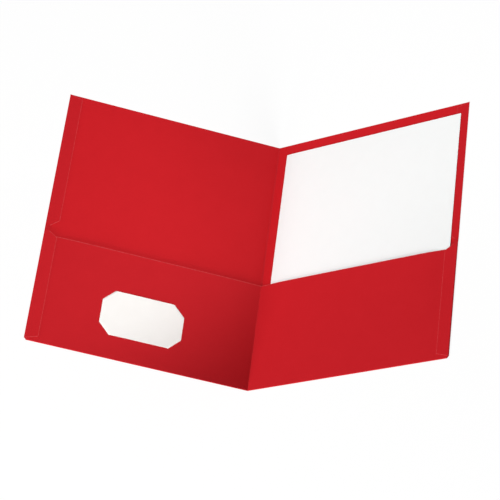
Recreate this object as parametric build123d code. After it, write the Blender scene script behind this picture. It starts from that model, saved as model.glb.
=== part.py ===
# Two pocket folder of scored cardstock, lying open on its back cover with the front cover raised.
# One cut and scored blank makes the covers, the pockets and the flaps along the outer edges.
# A name card sits in four slits of the front pocket, and loose sheets stand in the back pocket.
#
# Each cover is drawn in its own panel frame: u runs from the spine crease to the outer edge,
# v from the bottom edge to the top edge, and w from the cover's inner face towards the reader.
# The back cover then lies on the table, and the front one is mirrored and swung up at the spine.
import math
import os

from build123d import *

# Covers, measured over the folds, and the angle between them
cover_width = 241.3
cover_height = 298.45
opening_angle = 129.0
corner_clip = 2.2

# Cardstock, glue film and the scored spine crease
board = 0.30
glue_film = 0.05
glue_margin = 1.5
crease_half_width = 0.40
closing_clearance = 0.15

# Pockets, folded up from the bottom edge
pocket_height = 123.7
pocket_clearance = 0.06

# Flaps folded in from the outer edges, with a blunt notch at the mouth of the pocket
flap_width = 14.3
flap_foot_rise = 4.2
hem_head_drop = 3.4
notch_rise = 8.1
notch_blunt = 6.2
notch_lower_angle = 32.5
notch_upper_angle = 40.0
neck_width = 4.6

# Loose sheets in the back pocket, from the one against the cover to the one against the pocket
sheet_names = ("rear_sheet", "middle_sheet", "front_sheet")
sheet_thickness = 0.10
sheet_spacing = 0.03
sheet_fan = 2.5
sheet_spine_margin = 11.4
sheet_edge_margin = 9.0
sheet_top_margin = 12.3
sheet_foot_margin = 6.75

# Name card, with its corners tucked through slits in the front pocket
card_width = 88.9
card_height = 50.8
card_thickness = 0.30
card_clearance = 0.03
card_from_spine = 122.9
card_above_bottom = 51.9
card_corner = 12.0
slit_width = 1.2
slit_overrun = 1.0
cut_overrun = 0.2

# Sheets, as wide and high as their margins leave on the cover: letter size on this folder
fan_spread = (len(sheet_names) - 1) * sheet_fan
sheet_width = cover_width - sheet_spine_margin - sheet_edge_margin - fan_spread
sheet_height = cover_height - sheet_top_margin - sheet_foot_margin

# Layers above a cover's inner face: hem, sheets, pocket, flap and card
hem_gap = glue_film
hem_top = hem_gap + board
sheet_pitch = sheet_thickness + sheet_spacing
sheets_top = hem_top + len(sheet_names) * sheet_pitch
tuck_depth = card_thickness + 2 * card_clearance
pocket_gap = max(sheets_top + pocket_clearance, tuck_depth)
pocket_face = pocket_gap + board
flap_gap = pocket_face + glue_film
card_face = pocket_face + card_clearance
layers_top = max(flap_gap + board, card_face + card_thickness)

# Hinge line of the spine, over the crease and level with the middle of the closed folder
hinge_height = layers_top + closing_clearance
lift = 180.0 - opening_angle
hinge_axis = Axis((0, 0, hinge_height), (0, 1, 0))

# Fold lines, where the flat panels end and the rounded folds begin
foot = pocket_gap / 2 + board
flap_line = cover_width - flap_gap / 2 - board
hem_line = cover_width - hem_gap / 2 - board
clip_line = cover_width - corner_clip

# Edges of the flaps and of the notch between them
flap_inner = cover_width - flap_width
neck_inner = cover_width - neck_width
notch_height = pocket_height + notch_rise
neck_low = notch_height - notch_blunt / 2
neck_high = notch_height + notch_blunt / 2
notch_depth = neck_inner - flap_inner
notch_foot = neck_low - notch_depth * math.tan(math.radians(notch_lower_angle))
notch_head = neck_high + notch_depth * math.tan(math.radians(notch_upper_angle))
flap_foot = corner_clip + flap_foot_rise
hem_head = cover_height - hem_head_drop


def plate(outline, low, thickness):
    # Flat piece with an outline in u and v, from the level low upwards
    face = make_face(Polyline(*outline, close=True))
    return Pos(0, 0, low) * extrude(face, amount=thickness, dir=(0, 0, 1))


def rectangle(left, bottom, right, top):
    return [(left, bottom), (right, bottom), (right, top), (left, top)]


def edge_plane(line, height):
    # Section plane across the panel at a height v, with its zero on the line u
    return Plane(origin=(line, height, 0), x_dir=(1, 0, 0), z_dir=(0, -1, 0))


def fold_section(gap, leg):
    # Board turned back on itself over the gap, with a leg of flat board behind the fold line
    inner = gap / 2
    top = gap + board
    edges = [
        ThreePointArc((0, -board), (inner + board, inner), (0, top)),
        ThreePointArc((0, gap), (inner, inner), (0, 0)),
        Line((0, 0), (0, -board)),
    ]
    if leg > 0:
        edges.append(Line((0, top), (-leg, top)))
        edges.append(Line((-leg, top), (-leg, gap)))
        edges.append(Line((-leg, gap), (0, gap)))
    else:
        edges.append(Line((0, top), (0, gap)))
    return make_face(edges)


def cover():
    outline = [
        (crease_half_width, foot),
        (clip_line, foot),
        (flap_line, corner_clip),
        (flap_line, neck_low),
        (hem_line, neck_high),
        (hem_line, cover_height),
        (crease_half_width, cover_height),
    ]
    return plate(outline, -board, board)


def pocket():
    outline = [
        (crease_half_width, foot),
        (clip_line, foot),
        (flap_line, corner_clip),
        (flap_line, pocket_height),
        (crease_half_width, pocket_height),
    ]
    return plate(outline, pocket_gap, board)


def bottom_section(line):
    # Half round of the bottom fold, in the plane across the bottom edge at u = line
    across = Plane(origin=(line, foot, 0), x_dir=(0, -1, 0), z_dir=(-1, 0, 0))
    return across * fold_section(pocket_gap, 0)


def bottom_fold():
    # Fold along the bottom edge, from the cover's back to the pocket's face
    length = clip_line - crease_half_width
    return extrude(bottom_section(crease_half_width), amount=length, dir=(1, 0, 0))


def side_fold():
    # Wide fold of the outer edge, round the pocket's side
    section = edge_plane(flap_line, corner_clip) * fold_section(flap_gap, 0)
    return extrude(section, amount=neck_low - corner_clip, dir=(0, 1, 0))


def hem_fold():
    # Narrow fold of the outer edge, above the pocket
    section = edge_plane(hem_line, neck_high) * fold_section(hem_gap, 0)
    return extrude(section, amount=cover_height - neck_high, dir=(0, 1, 0))


def edge_neck():
    # Strip outside the notch, which steps down from the wide fold to the narrow one
    wide = edge_plane(flap_line, neck_low) * fold_section(flap_gap, flap_line - neck_inner)
    narrow = edge_plane(hem_line, neck_high) * fold_section(hem_gap, hem_line - neck_inner)
    return loft([wide, narrow], ruled=True)


def side_flap():
    # Glue flap over the pocket's side, cut back at its foot and slanted up to the notch
    outline = [
        (flap_inner, flap_foot),
        (flap_line, corner_clip),
        (flap_line, neck_low),
        (neck_inner, neck_low),
        (flap_inner, notch_foot),
    ]
    return plate(outline, flap_gap, board)


def edge_hem():
    # Hem glued down on the cover above the pocket
    outline = [
        (flap_inner, notch_head),
        (neck_inner, neck_high),
        (hem_line, neck_high),
        (hem_line, cover_height),
        (flap_inner, hem_head),
    ]
    return plate(outline, hem_gap, board)


def flap_glue():
    left = flap_inner + glue_margin
    bottom = flap_foot + glue_margin
    right = flap_line - glue_margin
    top = notch_foot - glue_margin
    return plate(rectangle(left, bottom, right, top), pocket_face, glue_film)


def hem_glue():
    left = flap_inner + glue_margin
    bottom = notch_head + glue_margin
    right = hem_line - glue_margin
    top = hem_head - glue_margin
    return plate(rectangle(left, bottom, right, top), 0, glue_film)


def swing(u, w, angle):
    # Place of a point of the panel once the panel has turned about the hinge line
    turn = math.radians(angle)
    rise = w - hinge_height
    swung_u = u * math.cos(turn) + rise * math.sin(turn)
    swung_w = hinge_height - u * math.sin(turn) + rise * math.cos(turn)
    return (swung_u, swung_w)


def crease_band(low, top):
    # Rounded crease between two raised panels, concentric with the hinge line
    high = low + board
    near = crease_half_width
    far = -crease_half_width
    edges = [
        Line((near, low), (0, low)),
        ThreePointArc((0, low), swing(0, low, lift / 2), swing(0, low, lift)),
        Line(swing(0, low, lift), swing(far, low, lift)),
        Line(swing(far, low, lift), swing(far, high, lift)),
        Line(swing(far, high, lift), swing(0, high, lift)),
        ThreePointArc(swing(0, high, lift), swing(0, high, lift / 2), (0, high)),
        Line((0, high), (near, high)),
        Line((near, high), (near, low)),
    ]
    section = edge_plane(0, foot) * make_face(edges)
    return extrude(section, amount=top - foot, dir=(0, 1, 0))


def foot_crease():
    # Bottom fold carried round the foot of the spine, from one cover to the other
    straight = extrude(bottom_section(0), amount=crease_half_width, dir=(1, 0, 0))
    bend = revolve(bottom_section(0), axis=hinge_axis, revolution_arc=lift)
    swung = mirror(straight, about=Plane.YZ).rotate(hinge_axis, lift)
    return straight + bend + swung


def sheet(index):
    left = sheet_spine_margin + index * sheet_fan
    low = hem_top + sheet_spacing + index * sheet_pitch
    top = sheet_foot_margin + sheet_height
    outline = rectangle(left, sheet_foot_margin, left + sheet_width, top)
    return plate(outline, low, sheet_thickness)


def card_corners():
    # The way to each corner of the card from its middle, as signs of u and v
    return [(side, end) for side in (-1, 1) for end in (-1, 1)]


def slit_plane(side, end):
    # Section plane across a slit, with x from the slit to the card's corner and y along w
    middle_u = card_from_spine + side * (card_width - card_corner) / 2
    middle_v = card_above_bottom + end * (card_height - card_corner) / 2
    return Plane(origin=(middle_u, middle_v, 0), x_dir=(side, end, 0), z_dir=(end, -side, 0))


def slit(side, end):
    low = pocket_gap - cut_overrun
    high = pocket_face + cut_overrun
    half_length = card_corner / math.sqrt(2) + slit_overrun
    section = make_face(Polyline(*rectangle(-slit_width, low, 0, high), close=True))
    return extrude(slit_plane(side, end) * section, amount=half_length, both=True)


def slit_pocket():
    panel = pocket()
    for side, end in card_corners():
        panel = panel - slit(side, end)
    return panel


def card_quarter(side, end):
    # Quarter of the card, which drops through the slit and runs on behind the pocket
    reach = card_width
    tuck_high = pocket_gap - card_clearance
    tuck_low = tuck_high - card_thickness
    card_top = card_face + card_thickness
    profile = [
        (-reach, card_face),
        (-slit_width, card_face),
        (0, tuck_low),
        (reach, tuck_low),
        (reach, tuck_high),
        (0, tuck_high),
        (-slit_width, card_top),
        (-reach, card_top),
    ]
    section = slit_plane(side, end) * make_face(Polyline(*profile, close=True))
    stepped = extrude(section, amount=reach, both=True)
    corner_u = card_from_spine + side * card_width / 2
    corner_v = card_above_bottom + end * card_height / 2
    quarter = rectangle(card_from_spine, card_above_bottom, corner_u, corner_v)
    return stepped & plate(quarter, 0, hinge_height)


def name_card():
    quarters = [card_quarter(side, end) for side, end in card_corners()]
    return quarters[0] + quarters[1:]


def on_table(shape):
    # The folder's origin is the middle of the back cover's outer face
    return Pos(-cover_width / 2, -cover_height / 2, board) * shape


def raised(shape):
    return on_table(mirror(shape, about=Plane.YZ).rotate(hinge_axis, lift))


panel_pieces = {
    "cover": cover(),
    "bottom_fold": bottom_fold(),
    "side_fold": side_fold(),
    "edge_neck": edge_neck(),
    "hem_fold": hem_fold(),
    "side_flap": side_flap(),
    "flap_glue": flap_glue(),
    "edge_hem": edge_hem(),
    "hem_glue": hem_glue(),
}

pieces = {}
for name, shape in panel_pieces.items():
    pieces["back_" + name] = on_table(shape)
    pieces["front_" + name] = raised(shape)
pieces["back_pocket"] = on_table(pocket())
pieces["front_pocket"] = raised(slit_pocket())
pieces["name_card"] = raised(name_card())
pieces["spine_crease"] = on_table(crease_band(-board, cover_height))
pieces["pocket_crease"] = on_table(crease_band(pocket_gap, pocket_height))
pieces["foot_crease"] = on_table(foot_crease())
for index, name in enumerate(sheet_names):
    pieces[name] = on_table(sheet(index))

os.makedirs("parts", exist_ok=True)
for name, shape in pieces.items():
    export_step(shape, "parts/" + name + ".step")
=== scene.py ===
import math

import bmesh
import bpy
from mathutils import Matrix, Quaternion, Vector
from mathutils.geometry import intersect_point_line
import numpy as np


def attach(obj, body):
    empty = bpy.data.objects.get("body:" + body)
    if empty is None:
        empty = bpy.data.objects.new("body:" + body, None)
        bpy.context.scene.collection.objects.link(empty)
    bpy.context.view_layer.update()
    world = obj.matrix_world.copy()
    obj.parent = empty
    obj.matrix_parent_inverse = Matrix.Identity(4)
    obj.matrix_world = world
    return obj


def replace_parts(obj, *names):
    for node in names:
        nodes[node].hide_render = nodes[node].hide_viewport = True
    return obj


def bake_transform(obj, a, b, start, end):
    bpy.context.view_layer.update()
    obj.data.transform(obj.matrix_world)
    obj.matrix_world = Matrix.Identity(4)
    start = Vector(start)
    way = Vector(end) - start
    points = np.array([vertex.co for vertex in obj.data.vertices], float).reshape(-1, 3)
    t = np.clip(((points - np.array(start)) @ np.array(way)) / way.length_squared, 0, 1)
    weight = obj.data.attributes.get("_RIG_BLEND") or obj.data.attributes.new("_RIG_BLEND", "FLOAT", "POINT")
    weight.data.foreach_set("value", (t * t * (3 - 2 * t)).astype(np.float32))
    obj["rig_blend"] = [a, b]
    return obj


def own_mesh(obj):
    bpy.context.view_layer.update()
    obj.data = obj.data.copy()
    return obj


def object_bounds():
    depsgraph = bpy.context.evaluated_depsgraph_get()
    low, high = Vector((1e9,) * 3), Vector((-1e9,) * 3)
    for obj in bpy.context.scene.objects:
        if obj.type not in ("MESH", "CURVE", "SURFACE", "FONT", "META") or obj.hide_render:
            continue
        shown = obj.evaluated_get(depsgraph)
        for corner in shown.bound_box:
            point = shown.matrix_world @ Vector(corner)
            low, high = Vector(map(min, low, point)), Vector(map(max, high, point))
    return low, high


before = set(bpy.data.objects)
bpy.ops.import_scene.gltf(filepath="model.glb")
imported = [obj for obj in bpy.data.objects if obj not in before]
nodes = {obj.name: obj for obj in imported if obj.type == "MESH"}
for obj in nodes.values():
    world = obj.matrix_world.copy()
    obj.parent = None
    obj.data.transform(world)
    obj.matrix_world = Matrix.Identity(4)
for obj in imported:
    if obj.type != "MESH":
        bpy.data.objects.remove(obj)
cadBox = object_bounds()
print("frame loaded with", len(nodes), "nodes")

# Sizes are in millimetres in a panel's own frame, as in the part's source:
# u from the spine to the outer edge, v from the bottom edge up, w off the cover's inner face.
millimetre = 0.001
sides = ("back", "front")
folder = {
    "width": 241.3,
    "height": 298.45,
    "board": 0.30,
    "glue": 0.05,
    "hingeHeight": 1.60,
    "lift": 51.0,
    "creaseFlat": 0.40,
    "pocketGap": 0.80,
    "pocketHeight": 123.7,
    "clip": 2.2,
    "flapWidth": 14.3,
    "neckWidth": 4.6,
    "rimWidth": 0.6,
}
footLine = folder["board"] + folder["pocketGap"] / 2
flapInner = folder["width"] - folder["flapWidth"]
flapLow = folder["pocketGap"] + folder["board"] + folder["glue"]


def foldLine(low):
    # the line about which the board turns over from a cover to the level low
    return folder["width"] - folder["board"] - low / 2


def panelMatrix(side):
    place = Matrix.Translation((-folder["width"] / 2, -folder["height"] / 2, folder["board"]))
    if side == "front":
        hinge = Matrix.Translation((0, 0, folder["hingeHeight"]))
        turn = Matrix.Rotation(math.radians(folder["lift"]), 4, "Y")
        place = place @ hinge @ turn @ hinge.inverted() @ Matrix.Scale(-1, 4, (1, 0, 0))
    return Matrix.Scale(millimetre, 4) @ place


def panelPoint(side, u, v, w):
    return panelMatrix(side) @ Vector((u, v, w))


def panelNormal(side):
    return (panelPoint(side, 0, 0, 1) - panelPoint(side, 0, 0, 0)).normalized()


# Camera: long lens, held at a slant to the folder

cameraSetup = {
    "place": (1.02403, -0.95697, 1.49349),
    "aim": (-0.12498, 0.00811, 0.02434),
    "roll": -51.778,
    "lens": 139.82,
    "sensor": 36.0,
}


def makeCamera():
    data = bpy.data.cameras.new("camera")
    data.lens = cameraSetup["lens"]
    data.sensor_fit = "HORIZONTAL"
    data.sensor_width = cameraSetup["sensor"]
    camera = bpy.data.objects.new("camera", data)
    bpy.context.scene.collection.objects.link(camera)
    camera.location = cameraSetup["place"]
    look = Vector(cameraSetup["aim"]) - Vector(cameraSetup["place"])
    camera.rotation_mode = "QUATERNION"
    roll = Quaternion((0, 0, 1), math.radians(cameraSetup["roll"]))
    camera.rotation_quaternion = look.to_track_quat("-Z", "Y") @ roll
    bpy.context.scene.camera = camera


makeCamera()
print("camera set")


# Materials, all on Object coordinates

rangeSockets = ("From Min", "From Max", "To Min", "To Max")


def newMaterial(name):
    material = bpy.data.materials.new(name)
    material.use_nodes = True
    tree = material.node_tree
    return material, tree, tree.nodes["Principled BSDF"]


def addNode(tree, kind, **values):
    node = tree.nodes.new(kind)
    for key, value in values.items():
        setattr(node, key, value)
    return node


def setInputs(node, values):
    for key, value in values.items():
        node.inputs[key].default_value = value


def feed(tree, socket, value):
    # the value is another node's output or a constant
    if isinstance(value, bpy.types.NodeSocket):
        tree.links.new(value, socket)
    else:
        socket.default_value = value


def noiseOn(tree, vector, values):
    noise = addNode(tree, "ShaderNodeTexNoise")
    setInputs(noise, values)
    tree.links.new(vector, noise.inputs["Vector"])
    return noise.outputs["Fac"]


def rangeOf(tree, value, ends):
    node = addNode(tree, "ShaderNodeMapRange")
    setInputs(node, dict(zip(rangeSockets, ends)))
    tree.links.new(value, node.inputs["Value"])
    return node.outputs["Result"]


def mathOf(tree, operation, valueA, valueB):
    node = addNode(tree, "ShaderNodeMath", operation=operation)
    feed(tree, node.inputs[0], valueA)
    feed(tree, node.inputs[1], valueB)
    return node.outputs["Value"]


def mixColours(tree, share, colourA, colourB):
    node = addNode(tree, "ShaderNodeMix", data_type="RGBA")
    tree.links.new(share, node.inputs["Factor"])
    sockets = {socket.identifier: socket for socket in [*node.inputs, *node.outputs]}
    feed(tree, sockets["A_Color"], colourA)
    feed(tree, sockets["B_Color"], colourB)
    return sockets["Result_Color"]


def dressShader(tree, shader, colour, roughness, specular, bumps):
    tree.links.new(colour, shader.inputs["Base Color"])
    tree.links.new(roughness, shader.inputs["Roughness"])
    shader.inputs["Specular IOR Level"].default_value = specular
    normal = None
    for height, values in bumps:
        bump = addNode(tree, "ShaderNodeBump")
        setInputs(bump, values)
        tree.links.new(height, bump.inputs["Height"])
        if normal is not None:
            tree.links.new(normal, bump.inputs["Normal"])
        normal = bump.outputs["Normal"]
    tree.links.new(normal, shader.inputs["Normal"])


cardstockLook = {
    "outsideDeep": (0.519, 0.0062, 0.0118, 1.0),
    "outsideLit": (0.534, 0.0070, 0.0129, 1.0),
    "insideDeep": (0.559, 0.0062, 0.0115, 1.0),
    "insideLit": (0.576, 0.0070, 0.0126, 1.0),
    # pale rim colour: partly wear of the cut edge, partly a painted highlight of the edge catching the light
    "paleEdgeWearAndHighlight": (0.64, 0.0825, 0.089, 1.0),
    "cloudNoise": {"Scale": 45.0, "Detail": 3.0, "Roughness": 0.55},
    "feltNoise": {"Scale": 420.0, "Detail": 4.0, "Roughness": 0.6},
    "fibreNoise": {"Scale": 1900.0, "Detail": 5.0, "Roughness": 0.65},
    "cloudShare": 0.55,
    "feltShare": 0.45,
    "toneRange": (0.36, 0.64, 0.0, 1.0),
    "brokenRange": (0.38, 0.62, 0.35, 1.0),
    "roughRange": (0.3, 0.7, 0.62, 0.80),
    "feltBump": {"Strength": 0.25, "Distance": 0.00006},
    "fibreBump": {"Strength": 0.35, "Distance": 0.00004},
    "specular": 0.16,
    "creaseWear": 0.05,
}


def insideShare(tree, spot, side):
    # 1 on the inner face of a cover, 0 on its outer face
    along = addNode(tree, "ShaderNodeVectorMath", operation="DOT_PRODUCT")
    along.inputs[1].default_value = panelNormal(side)
    tree.links.new(spot, along.inputs[0])
    middle = panelPoint(side, 0, 0, -folder["board"] / 2)
    return mathOf(tree, "GREATER_THAN", along.outputs["Value"], middle.dot(panelNormal(side)))


def makeCardstock(name, wornAllOver=False, coverSide=None):
    look = cardstockLook
    material, tree, shader = newMaterial(name)
    spot = addNode(tree, "ShaderNodeTexCoord").outputs["Object"]
    clouds = noiseOn(tree, spot, look["cloudNoise"])
    felt = noiseOn(tree, spot, look["feltNoise"])
    fibres = noiseOn(tree, spot, look["fibreNoise"])
    cloudTone = mathOf(tree, "MULTIPLY", clouds, look["cloudShare"])
    feltTone = mathOf(tree, "MULTIPLY", felt, look["feltShare"])
    share = rangeOf(tree, mathOf(tree, "ADD", cloudTone, feltTone), look["toneRange"])
    red = mixColours(tree, share, look["outsideDeep"], look["outsideLit"])
    if coverSide:
        inside = mixColours(tree, share, look["insideDeep"], look["insideLit"])
        red = mixColours(tree, insideShare(tree, spot, coverSide), red, inside)
    # pale rims mixed in: partly edge wear, partly painted highlight; folded stock also gets an even crease
    # wear
    rimWearAndHighlight = addNode(tree, "ShaderNodeAttribute", attribute_name="rim").outputs["Fac"]
    if wornAllOver:
        rimWearAndHighlight = mathOf(tree, "MAXIMUM", rimWearAndHighlight, look["creaseWear"])
    edgeWearAndHighlightShare = mathOf(tree, "MULTIPLY", rimWearAndHighlight, rangeOf(tree, felt, look["brokenRange"]))
    colour = mixColours(tree, edgeWearAndHighlightShare, red, look["paleEdgeWearAndHighlight"])
    roughness = rangeOf(tree, fibres, look["roughRange"])
    bumps = [(felt, look["feltBump"]), (fibres, look["fibreBump"])]
    dressShader(tree, shader, colour, roughness, look["specular"], bumps)
    return material


paperLook = {
    "shade": (0.920, 0.936, 0.930, 1.0),
    "light": (0.927, 0.944, 0.938, 1.0),
    "cloudNoise": {"Scale": 70.0, "Detail": 4.0, "Roughness": 0.6},
    "cloudRange": (0.35, 0.65, 0.0, 1.0),
    "grainNoise": {"Scale": 1500.0, "Detail": 5.0, "Roughness": 0.65},
    "roughRange": (0.3, 0.7, 0.70, 0.88),
    "grainBump": {"Strength": 0.30, "Distance": 0.00003},
    "specular": 0.25,
}

cardLook = {
    "shade": (0.930, 0.910, 0.879, 1.0),
    "light": (0.939, 0.920, 0.890, 1.0),
    "cloudNoise": {"Scale": 90.0, "Detail": 3.0, "Roughness": 0.5},
    "cloudRange": (0.35, 0.65, 0.0, 1.0),
    "grainNoise": {"Scale": 2600.0, "Detail": 3.0, "Roughness": 0.6},
    "roughRange": (0.3, 0.7, 0.48, 0.60),
    "grainBump": {"Strength": 0.20, "Distance": 0.00002},
    "specular": 0.35,
}

glueLook = {
    "shade": (0.62, 0.52, 0.36, 1.0),
    "light": (0.78, 0.70, 0.52, 1.0),
    "cloudNoise": {"Scale": 260.0, "Detail": 3.0, "Roughness": 0.5},
    "cloudRange": (0.35, 0.65, 0.0, 1.0),
    "grainNoise": {"Scale": 260.0, "Detail": 3.0, "Roughness": 0.5},
    "roughRange": (0.3, 0.7, 0.30, 0.50),
    "grainBump": {"Strength": 0.30, "Distance": 0.00005},
    "specular": 0.5,
}


def makeMottled(name, look):
    # cloudy colour, with a grain in roughness and bump
    material, tree, shader = newMaterial(name)
    spot = addNode(tree, "ShaderNodeTexCoord").outputs["Object"]
    clouds = noiseOn(tree, spot, look["cloudNoise"])
    grain = noiseOn(tree, spot, look["grainNoise"])
    share = rangeOf(tree, clouds, look["cloudRange"])
    colour = mixColours(tree, share, look["shade"], look["light"])
    roughness = rangeOf(tree, grain, look["roughRange"])
    dressShader(tree, shader, colour, roughness, look["specular"], [(grain, look["grainBump"])])
    return material


cardstock = makeCardstock("redCardstock")
foldedStock = makeCardstock("redCardstockFold", wornAllOver=True)
coverStock = {side: makeCardstock("redCardstock_" + side, coverSide=side) for side in sides}
sheetPaper = makeMottled("sheetPaper", paperLook)
cardPaper = makeMottled("nameCardStock", cardLook)
driedGlue = makeMottled("driedGlue", glueLook)
print("materials made")


# Shared bmesh steps

meshing = {
    "cutSnap": 0.0005,
    "sharpAngle": 35.0,
    "broadNormal": 0.9,
    "orderDigits": 7,
}


def vertsOf(geom):
    return [item for item in geom if isinstance(item, bmesh.types.BMVert)]


def facesOf(geom):
    return [item for item in geom if isinstance(item, bmesh.types.BMFace)]


def facesNear(bm, middle, reach):
    return [face for face in bm.faces if (face.calc_center_median().xy - middle.xy).length < reach]


def cutAcross(bm, faces, place, normal, clear=False):
    edges = dict.fromkeys(edge for face in faces for edge in face.edges)
    verts = dict.fromkeys(vert for face in faces for vert in face.verts)
    bmesh.ops.bisect_plane(
        bm, geom=[*verts, *edges, *faces], dist=meshing["cutSnap"],
        plane_co=place, plane_no=normal, clear_outer=clear,
    )


def gridBoard(left, bottom, right, top, level, columns, rows):
    bm = bmesh.new()
    bmesh.ops.create_grid(bm, x_segments=columns, y_segments=rows, size=0.5)
    bmesh.ops.scale(bm, vec=(right - left, top - bottom, 1), verts=bm.verts)
    bmesh.ops.translate(bm, vec=((left + right) / 2, (bottom + top) / 2, level), verts=bm.verts)
    return bm


def thicken(bm, thickness):
    grown = bmesh.ops.extrude_face_region(bm, geom=bm.faces[:])
    bmesh.ops.translate(bm, verts=vertsOf(grown["geom"]), vec=(0, 0, thickness))


def rimGap(spot, rims):
    # distance from the nearest rim, in the panel's plane
    point = Vector((spot.x, spot.y, 0))
    gaps = []
    for start, end in rims:
        a, b = Vector((*start, 0)), Vector((*end, 0))
        along = intersect_point_line(point, a, b)[1]
        gaps.append((point - a.lerp(b, min(max(along, 0), 1))).length)
    return min(gaps, default=math.inf)


def markRims(bm, rims, width=folder["rimWidth"]):
    # painted highlight and wear on the cut rims: 1 at a rim, fading to 0 over the rim's width
    layers = bm.loops.layers.float
    layer = layers.get("rim") or layers.new("rim")
    for face in bm.faces:
        if rimGap(face.calc_center_median(), rims) > width:
            continue
        for loop in face.loops:
            loop[layer] = max(loop[layer], 1 - rimGap(loop.vert.co, rims) / width)


def settleOrder(bm):
    # extrusions leave their elements in another order each run
    middles = (
        (bm.verts, lambda vert: vert.co),
        (bm.edges, lambda edge: (edge.verts[0].co + edge.verts[1].co) / 2),
        (bm.faces, lambda face: face.calc_center_median()),
    )
    for elements, middle in middles:
        ordered = sorted(elements, key=lambda item: middle(item).to_tuple(meshing["orderDigits"]))
        ranks = {item: rank for rank, item in enumerate(ordered)}
        elements.sort(key=ranks.get)


def placePiece(bm, name, side, material):
    bmesh.ops.transform(bm, matrix=panelMatrix(side), verts=bm.verts)
    bmesh.ops.recalc_face_normals(bm, faces=bm.faces)
    settleOrder(bm)
    mesh = bpy.data.meshes.new(name)
    bm.to_mesh(mesh)
    bm.free()
    mesh.shade_smooth()
    mesh.set_sharp_from_angle(angle=math.radians(meshing["sharpAngle"]))
    mesh.materials.append(material)
    piece = bpy.data.objects.new(name, mesh)
    bpy.context.scene.collection.objects.link(piece)
    return piece


# Pockets: their mouths stand a little off the covers, held flat at the spine, the foot and the flap

pocketPiece = {
    "low": folder["pocketGap"],
    "mouth": folder["pocketHeight"],
    "heldAtSpine": 5.0,
    "mouthRise": {"back": 1.4, "front": 0.9},
    "flatPower": 12,
    "endPower": 2,
    "upPower": 1.5,
    "mouthRim": 0.9,
    "columns": 64,
    "rows": 34,
    "closedShare": 0.25,
}

cardPiece = {
    "width": 88.9,
    "height": 50.8,
    "fromSpine": 122.9,
    "aboveBottom": 51.9,
    "corner": 12.0,
    "thickness": 0.30,
    "clearance": 0.03,
    "arch": 0.25,
    "slitWidth": 1.2,
    "slitOverrun": 1.0,
    "slitReach": 8.0,
    "cornerReach": 14.0,
    "dipCuts": (0, 0.33, 0.66, 1),
    "columns": 48,
    "rows": 28,
}
cardCorners = [(across, up) for across in (-1, 1) for up in (-1, 1)]


def pocketRise(side, u, v):
    held = pocketPiece
    across = (u - held["heldAtSpine"]) / (flapInner - held["heldAtSpine"])
    up = (v - footLine) / (held["mouth"] - footLine)
    if across <= 0 or across >= 1 or up <= 0:
        return 0.0
    swell = (1 - (2 * across - 1) ** held["flatPower"]) ** held["endPower"]
    return held["mouthRise"][side] * swell * up ** held["upPower"]


def slitFrame(across, up):
    # middle of a slit, the way to the card's corner and the way along the slit
    card = cardPiece
    middle = Vector((
        card["fromSpine"] + across * (card["width"] - card["corner"]) / 2,
        card["aboveBottom"] + up * (card["height"] - card["corner"]) / 2,
        0,
    ))
    outward = Vector((across, up, 0)).normalized()
    return middle, outward, Vector((-outward.y, outward.x, 0))


def cutSlits(bm):
    half = cardPiece["corner"] / math.sqrt(2) + cardPiece["slitOverrun"]
    wide = cardPiece["slitWidth"]
    margin = folder["rimWidth"]
    rims = []
    for across, up in cardCorners:
        middle, outward, along = slitFrame(across, up)
        cuts = [
            (middle, outward), (middle - outward * wide, outward),
            (middle + outward * margin, outward), (middle - outward * (wide + margin), outward),
            (middle + along * half, along), (middle - along * half, along),
        ]
        for place, normal in cuts:
            flat = Vector((place.x, place.y, pocketPiece["low"]))
            cutAcross(bm, facesNear(bm, middle, half + cardPiece["slitReach"]), flat, normal)
        gone = []
        for face in bm.faces:
            offset = face.calc_center_median() - middle
            if -wide < offset.dot(outward) < 0 and abs(offset.dot(along)) < half:
                gone.append(face)
        bmesh.ops.delete(bm, geom=gone, context="FACES")
        for edge in (middle, middle - outward * wide):
            rims.append(((edge - along * half).xy, (edge + along * half).xy))
    return rims


def flatten(piece):
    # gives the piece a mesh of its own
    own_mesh(piece)


def makePocket(side):
    piece = pocketPiece
    left, right = folder["creaseFlat"], foldLine(flapLow)
    bottom, top = footLine, piece["mouth"]
    bm = gridBoard(left, bottom, right, top, piece["low"], piece["columns"], piece["rows"])
    clipFrom = Vector((folder["width"] - folder["clip"], bottom, piece["low"]))
    slant = Vector((right, folder["clip"], piece["low"])) - clipFrom
    cutAcross(bm, bm.faces[:], clipFrom, Vector((slant.y, -slant.x, 0)), clear=True)
    cutAcross(bm, bm.faces[:], (0, top - piece["mouthRim"], 0), (0, 1, 0))
    slitRims = cutSlits(bm) if side == "front" else []
    thicken(bm, folder["board"])
    # pale rims at the mouth and slits: partly wear, partly painted highlight
    markRims(bm, [((left, top), (right, top))], piece["mouthRim"])
    markRims(bm, slitRims)
    for vert in bm.verts:
        vert.co.z += pocketRise(side, vert.co.x, vert.co.y)
    made = placePiece(bm, side + "_pocket_board", side, cardstock)
    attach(made, side)
    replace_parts(made, side + "_pocket")
    flatten(made)


for side in sides:
    makePocket(side)
print("pockets bowed, slits cut")


# Name card: its corners dip through the slits and lie behind the pocket

def cardLevel(u, v):
    card = cardPiece
    fromMiddle = Vector((u - card["fromSpine"], v - card["aboveBottom"], 0))
    across = 1 if fromMiddle.x > 0 else -1
    up = 1 if fromMiddle.y > 0 else -1
    middle, outward = slitFrame(across, up)[:2]
    depth = (Vector((u, v, 0)) - middle).dot(outward)
    dip = min(max((depth + card["slitWidth"]) / card["slitWidth"], 0), 1)
    dip = dip * dip * (3 - 2 * dip)
    arch = card["arch"] * max(0, 1 - (2 * fromMiddle.x / card["width"]) ** 2) * (1 - dip)
    face = folder["pocketGap"] + folder["board"] + card["clearance"]
    tuck = folder["pocketGap"] - card["clearance"] - card["thickness"]
    return face + (tuck - face) * dip + arch + pocketRise("front", u, v)


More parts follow.
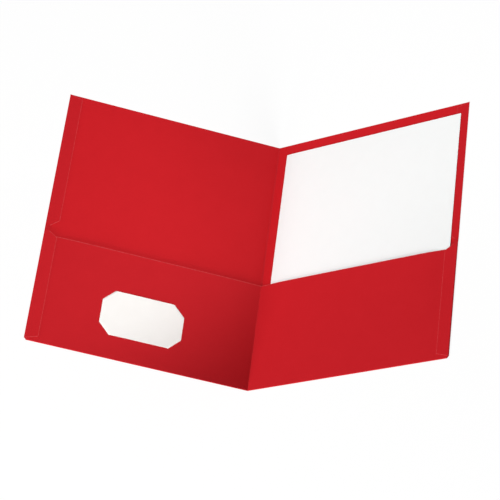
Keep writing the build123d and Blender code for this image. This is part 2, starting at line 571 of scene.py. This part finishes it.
def makeNameCard():
    card = cardPiece
    left = card["fromSpine"] - card["width"] / 2
    bottom = card["aboveBottom"] - card["height"] / 2
    bm = gridBoard(left, bottom, left + card["width"], bottom + card["height"], 0,
                   card["columns"], card["rows"])
    for across, up in cardCorners:
        middle, outward = slitFrame(across, up)[:2]
        for share in card["dipCuts"]:
            place = middle - outward * card["slitWidth"] * share
            cutAcross(bm, facesNear(bm, middle, card["cornerReach"]), place, outward)
    for vert in bm.verts:
        vert.co.z = cardLevel(vert.co.x, vert.co.y)
    thicken(bm, card["thickness"])
    made = placePiece(bm, "name_card_sheet", "front", cardPaper)
    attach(made, "front")
    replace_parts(made, "name_card")
    flatten(made)


makeNameCard()
print("name card tucked in")


# Creases: rounded bands about the hinge line, which bend as the front cover turns

creasePieces = {
    "spine_crease_band": {
        "node": "spine_crease",
        "low": -folder["board"],
        "top": folder["height"],
        "rim": 0.0,
    },
    "pocket_crease_band": {
        "node": "pocket_crease",
        "low": pocketPiece["low"],
        "top": pocketPiece["mouth"],
        "rim": pocketPiece["mouthRim"],
    },
}

footPiece = {
    "name": "foot_crease_band",
    "node": "foot_crease",
    "roundSteps": 12,
}
creaseSteps = 14


def bendAbout(piece, radiusLevel):
    start = panelPoint("back", 0, folder["height"] / 2, radiusLevel)
    end = panelPoint("front", 0, folder["height"] / 2, radiusLevel)
    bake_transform(piece, "back", "front", start=start, end=end)


def dropInner(bm, faces):
    # a section that two lengths of a band share lies inside the board
    inner = [face for face in faces if face.is_valid
             and any(len(edge.link_faces) > 2 for edge in face.edges)]
    bmesh.ops.delete(bm, geom=inner, context="FACES_ONLY")


def slideOn(bm, section, vector):
    grown = bmesh.ops.extrude_face_region(bm, geom=section)["geom"]
    bmesh.ops.translate(bm, verts=vertsOf(grown), vec=vector)
    dropInner(bm, section)
    return facesOf(grown)


def spinOn(bm, section, centre, axis, angle, steps):
    turned = bmesh.ops.spin(bm, geom=section, cent=centre, axis=axis, angle=angle, steps=steps)
    dropInner(bm, section)
    return facesOf(turned["geom_last"])


def bandOn(bm, section):
    # flat lip on the back panel, the turn about the hinge line, flat lip on the front panel
    flat, lift = folder["creaseFlat"], math.radians(folder["lift"])
    section = slideOn(bm, section, (-flat, 0, 0))
    section = spinOn(bm, section, (0, 0, folder["hingeHeight"]), (0, 1, 0), lift, creaseSteps)
    slideOn(bm, section, (-flat * math.cos(lift), 0, flat * math.sin(lift)))


def makeCreaseBand(name):
    band = creasePieces[name]
    bm = bmesh.new()
    low, high = band["low"], band["low"] + folder["board"]
    corners = [(footLine, low), (footLine, high), (band["top"], high), (band["top"], low)]
    section = bm.faces.new([bm.verts.new((folder["creaseFlat"], v, w)) for v, w in corners])
    bandOn(bm, [section])
    if band["rim"]:
        cutAcross(bm, bm.faces[:], (0, band["top"] - band["rim"], 0), (0, 1, 0))
        reach = folder["hingeHeight"] + folder["creaseFlat"]
        # pale mouth rim: partly wear, partly painted highlight
        markRims(bm, [((-reach, band["top"]), (reach, band["top"]))], band["rim"])
    made = placePiece(bm, name, "back", foldedStock)
    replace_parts(made, band["node"])
    bendAbout(made, high)


def makeFootCrease():
    # half round of the bottom fold, carried round the foot of the spine
    bm = bmesh.new()
    low = pocketPiece["low"]
    wall = [bm.verts.new((folder["creaseFlat"], footLine, w)) for w in (low, low + folder["board"])]
    bmesh.ops.spin(bm, geom=[bm.edges.new(wall)], cent=(0, footLine, low / 2), axis=(1, 0, 0),
                   angle=math.pi, steps=footPiece["roundSteps"])
    bandOn(bm, bm.faces[:])
    made = placePiece(bm, footPiece["name"], "back", foldedStock)
    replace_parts(made, footPiece["node"])
    bendAbout(made, 0)


for name in creasePieces:
    makeCreaseBand(name)
makeFootCrease()
print("creases made")


# Hems and glue flaps, with pale cut rims that are partly wear, partly painted highlight

hemPiece = {
    "low": folder["glue"],
    "headDrop": 3.4,
    "notchAngle": 40.0,
}

flapPiece = {
    "low": flapLow,
    "footRise": 4.2,
    "notchAngle": 32.5,
}

notchCut = {
    "rise": 8.1,
    "blunt": 6.2,
}


def notchSlant(angle, way):
    # the notch's slant from the inner edge to the neck, above its blunt end (1) or below (-1)
    neck = folder["width"] - folder["neckWidth"]
    level = folder["pocketHeight"] + notchCut["rise"] + way * notchCut["blunt"] / 2
    spread = (neck - flapInner) * math.tan(math.radians(angle))
    return (flapInner, level + way * spread), (neck, level)


def makeStrip(name, side, outline, rims, low):
    bm = bmesh.new()
    bm.faces.new([bm.verts.new((u, v, low)) for u, v in outline])
    thicken(bm, folder["board"])
    broad = [face for face in bm.faces if abs(face.normal.z) > meshing["broadNormal"]]
    bmesh.ops.inset_individual(bm, faces=broad, thickness=folder["rimWidth"], use_even_offset=True)
    # pale cut rims: partly wear, partly painted highlight
    markRims(bm, rims)
    made = placePiece(bm, name, side, cardstock)
    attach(made, side)
    return made


def makeHem(side):
    hem, line, head = hemPiece, foldLine(hemPiece["low"]), folder["height"]
    inner, neck = notchSlant(hem["notchAngle"], 1)
    outline = [inner, neck, (line, neck[1]), (line, head), (flapInner, head - hem["headDrop"])]
    rims = [(outline[0], outline[1]), (outline[3], outline[4]), (outline[4], outline[0])]
    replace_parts(makeStrip(side + "_hem_strip", side, outline, rims, hem["low"]), side + "_edge_hem")


def makeFlap(side):
    flap, line, foot = flapPiece, foldLine(flapPiece["low"]), folder["clip"]
    inner, neck = notchSlant(flap["notchAngle"], -1)
    outline = [(flapInner, foot + flap["footRise"]), (line, foot), (line, neck[1]), neck, inner]
    rims = [(outline[0], outline[1]), (outline[3], outline[4]), (outline[4], outline[0])]
    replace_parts(makeStrip(side + "_glue_flap", side, outline, rims, flap["low"]), side + "_side_flap")


for side in sides:
    makeHem(side)
    makeFlap(side)
print("hems and flaps made")


# Finishes of the carried nodes

nodeFinish = {
    "bottom_fold": foldedStock,
    "side_fold": foldedStock,
    "edge_neck": foldedStock,
    "hem_fold": foldedStock,
    "flap_glue": driedGlue,
    "hem_glue": driedGlue,
}


def dressNode(name, material):
    mesh = nodes[name].data
    mesh.materials.clear()
    mesh.materials.append(material)


for side in sides:
    for ending, material in nodeFinish.items():
        dressNode(side + "_" + ending, material)
    dressNode(side + "_cover", coverStock[side])
for name in ("rear_sheet", "middle_sheet", "front_sheet"):
    dressNode(name, sheetPaper)
print("nodes dressed")


# Studio: pale floor, soft lamps, white surroundings

studio = {
    "floorSize": 12.0,
    "floorDrop": 0.0002,
    "floorColour": (0.86, 0.86, 0.86, 1.0),
    "floorWhite": 0.92,
    "skyStrength": 0.206,
    "white": (1.0, 1.0, 1.0, 1.0),
    "whiteStrength": 1.0,
}

studioLamps = {
    "key": {
        "kind": "AREA",
        "place": (-2.20, -2.00, 3.10),
        "aim": (-0.02, 0.0, 0.0),
        "watts": 142.6,
        "size": 1.55,
    },
    "low": {
        "kind": "AREA",
        "place": (-0.28, -2.80, 1.05),
        "aim": (-0.02, 0.0, 0.0),
        "watts": 42.8,
        "size": 1.10,
    },
    "sweepHigh": {
        "kind": "SPOT",
        "place": (1.1276, -0.0367, 0.2796),
        "aim": (-0.3842, 0.2502, 0.3248),
        "watts": 29.0,
        "size": 0.12,
        "cone": 41.59,
        "blend": 0.343,
    },
    "sweepLow": {
        "kind": "SPOT",
        "place": (1.1276, -0.0367, 0.2796),
        "aim": (-0.3851, 0.0191, 0.3259),
        "watts": 24.6,
        "size": 0.12,
        "cone": 30.54,
        "blend": 0.756,
    },
}


def whiteForCamera(tree, plain, white, surface):
    # what the camera and mirrors see is white, and everything else sees the plain surface
    path = addNode(tree, "ShaderNodeLightPath")
    seen = path.outputs["Is Camera Ray"]
    for ray in ("Is Glossy Ray", "Is Transmission Ray"):
        seen = mathOf(tree, "MAXIMUM", seen, path.outputs[ray])
    mix = addNode(tree, "ShaderNodeMixShader")
    tree.links.new(seen, mix.inputs["Fac"])
    tree.links.new(plain, mix.inputs[1])
    tree.links.new(white, mix.inputs[2])
    tree.links.new(mix.outputs["Shader"], surface)


def makeFloor():
    bm = bmesh.new()
    bmesh.ops.create_grid(bm, x_segments=1, y_segments=1, size=studio["floorSize"] / 2)
    mesh = bpy.data.meshes.new("floor")
    bm.to_mesh(mesh)
    bm.free()
    floor = bpy.data.objects.new("floor", mesh)
    bpy.context.scene.collection.objects.link(floor)
    floor.location.z = cadBox[0].z - studio["floorDrop"]
    material, tree, shader = newMaterial("paleFloor")
    tree.nodes.remove(shader)
    plain = addNode(tree, "ShaderNodeBsdfDiffuse")
    plain.inputs["Color"].default_value = studio["floorColour"]
    shadow = addNode(tree, "ShaderNodeBsdfDiffuse")
    shadow.inputs["Color"].default_value = studio["white"]
    glow = addNode(tree, "ShaderNodeEmission")
    glow.inputs["Strength"].default_value = studio["whiteStrength"]
    white = addNode(tree, "ShaderNodeMixShader")
    white.inputs["Fac"].default_value = studio["floorWhite"]
    tree.links.new(shadow.outputs["BSDF"], white.inputs[1])
    tree.links.new(glow.outputs["Emission"], white.inputs[2])
    whiteForCamera(tree, plain.outputs["BSDF"], white.outputs["Shader"],
                   tree.nodes["Material Output"].inputs["Surface"])
    mesh.materials.append(material)


def makeSky():
    world = bpy.data.worlds.new("surroundings")
    bpy.context.scene.world = world
    world.use_nodes = True
    tree = world.node_tree
    plain = tree.nodes["Background"]
    setInputs(plain, {"Color": studio["white"], "Strength": studio["skyStrength"]})
    white = addNode(tree, "ShaderNodeBackground")
    setInputs(white, {"Color": studio["white"], "Strength": studio["whiteStrength"]})
    whiteForCamera(tree, plain.outputs["Background"], white.outputs["Background"],
                   tree.nodes["World Output"].inputs["Surface"])


def makeLamp(name):
    lamp = studioLamps[name]
    data = bpy.data.lights.new(name, lamp["kind"])
    data.energy = lamp["watts"]
    if lamp["kind"] == "SPOT":
        data.spot_size = math.radians(lamp["cone"])
        data.spot_blend = lamp["blend"]
        data.shadow_soft_size = lamp["size"] / 2
    else:
        data.shape = "DISK"
        data.size = lamp["size"]
    made = bpy.data.objects.new(name, data)
    bpy.context.scene.collection.objects.link(made)
    made.location = lamp["place"]
    look = Vector(lamp["aim"]) - Vector(lamp["place"])
    made.rotation_euler = look.to_track_quat("-Z", "Y").to_euler()
    made.visible_camera = False


makeFloor()
makeSky()
for name in studioLamps:
    makeLamp(name)
bpy.context.scene.view_settings.view_transform = "Standard"
print("studio lit")
